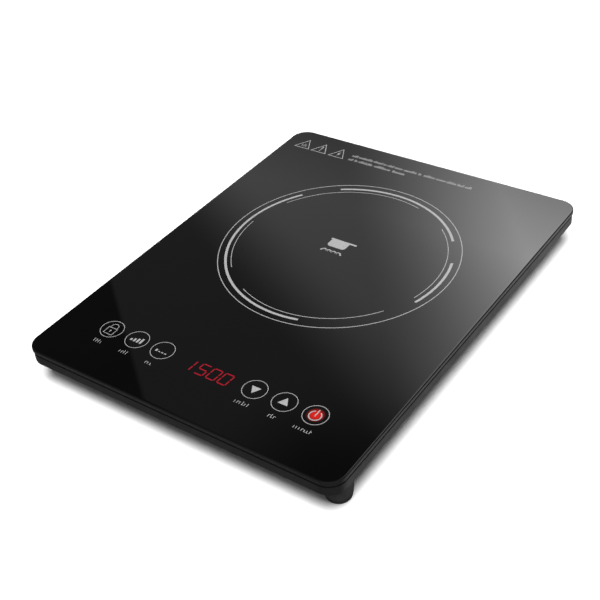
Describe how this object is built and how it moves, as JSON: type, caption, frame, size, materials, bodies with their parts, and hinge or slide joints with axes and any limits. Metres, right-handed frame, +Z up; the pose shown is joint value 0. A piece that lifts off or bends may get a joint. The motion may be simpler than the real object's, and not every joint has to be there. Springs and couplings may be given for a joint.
{
  "type": "induction cooktop",
  "caption": "Slim portable induction cooktop: black glass top with a round zone and touch keys, shallow housing on rubber feet, coil, boards and a cooling fan inside.",
  "frame": {"origin": "on the resting surface, under the middle of the glass", "axes": "+X to the right of a person at the controls, +Y from the controls to the back, +Z up"},
  "size_m": [0.28, 0.368, 0.038],
  "materials": {
    "black_glass": "polished black ceramic glass",
    "seal_silicone": "matt silicone",
    "housing_plastic": "fine grain",
    "case_plastic": "fine spark-eroded grain",
    "foot_rubber": "matt",
    "zinc_steel": "zinc plated",
    "label_foil": "satin",
    "cream_plastic": "satin",
    "copper_wire": "enamelled copper",
    "ferrite": "matt ferrite",
    "mica": "mica board",
    "fibre": "ceramic fibre felt",
    "white_silicone": "silicone",
    "spring_steel": "bright",
    "black_plastic": "moulded",
    "bronze": "sintered bronze",
    "magnet": "bonded magnet",
    "wire_insulation": "insulated wire",
    "power_pcb": "phenolic board",
    "control_pcb": "glass-fibre board",
    "sink_aluminium": "extruded",
    "epoxy": "moulded epoxy",
    "yellow_case": "capacitor case",
    "blue_case": "capacitor case",
    "can_sleeve": "sleeved can",
    "green_toroid": "coated toroid",
    "tape_yellow": "winding tape",
    "fuse_glass": "clear",
    "tinned_metal": "tinned",
    "varistor_blue": "coated",
    "display_red": "display block",
    "light_red": "light guide"
  },
  "bodies": {
    "cooktop": {"glass_plate": "black_glass", "glass_seal": "seal_silicone", "top_frame": "housing_plastic", "bottom_case": "case_plastic", "rubber_feet": "foot_rubber", "case_screws": "zinc_steel", "rating_plate": "label_foil", "cord_gland": "black_plastic", "coil_former": "cream_plastic", "coil_winding": "copper_wire", "ferrite_bars": "ferrite", "mica_sheet": "mica", "fibre_pad": "fibre", "coil_screws": "zinc_steel", "coil_leads": "copper_wire", "sensor_holder": "white_silicone", "sensor_spring": "spring_steel", "thermistor": "epoxy", "sensor_wires": "wire_insulation", "fan_frame": "black_plastic", "fan_bearing": "bronze", "fan_stator": "copper_wire", "fan_screws": "zinc_steel", "fan_wires": "wire_insulation", "power_board": "power_pcb", "board_screws": "zinc_steel", "heatsink": "sink_aluminium", "igbt": "epoxy", "bridge_rectifier": "epoxy", "heatsink_screws": "zinc_steel", "filter_capacitor": "yellow_case", "resonant_capacitor": "blue_case", "line_capacitor": "yellow_case", "choke_core": "green_toroid", "choke_winding": "copper_wire", "electrolytics": "can_sleeve", "transformer_core": "ferrite", "transformer_coil": "tape_yellow", "fuse": "fuse_glass", "fuse_clips": "tinned_metal", "varistor": "varistor_blue", "coil_terminals": "tinned_metal", "mains_terminals": "tinned_metal", "logic_chips": "epoxy", "board_sockets": "cream_plastic", "mains_wires": "wire_insulation", "control_carrier": "cream_plastic", "control_board": "control_pcb", "control_screws": "zinc_steel", "touch_springs": "spring_steel", "display_module": "display_red", "power_light": "light_red", "touch_chip": "epoxy", "buzzer": "black_plastic", "ribbon_cable": "wire_insulation"},
    "fan": {"fan_rotor": "black_plastic", "fan_magnet": "magnet", "fan_shaft": "spring_steel"}
  },
  "joints": [
    {"name": "fan_spin", "type": "hinge", "parent": "cooktop", "child": "fan", "pos_m": [-0.066, -0.108, 0.015], "axis": [0, 0, 1], "continuous": true}
  ]
}
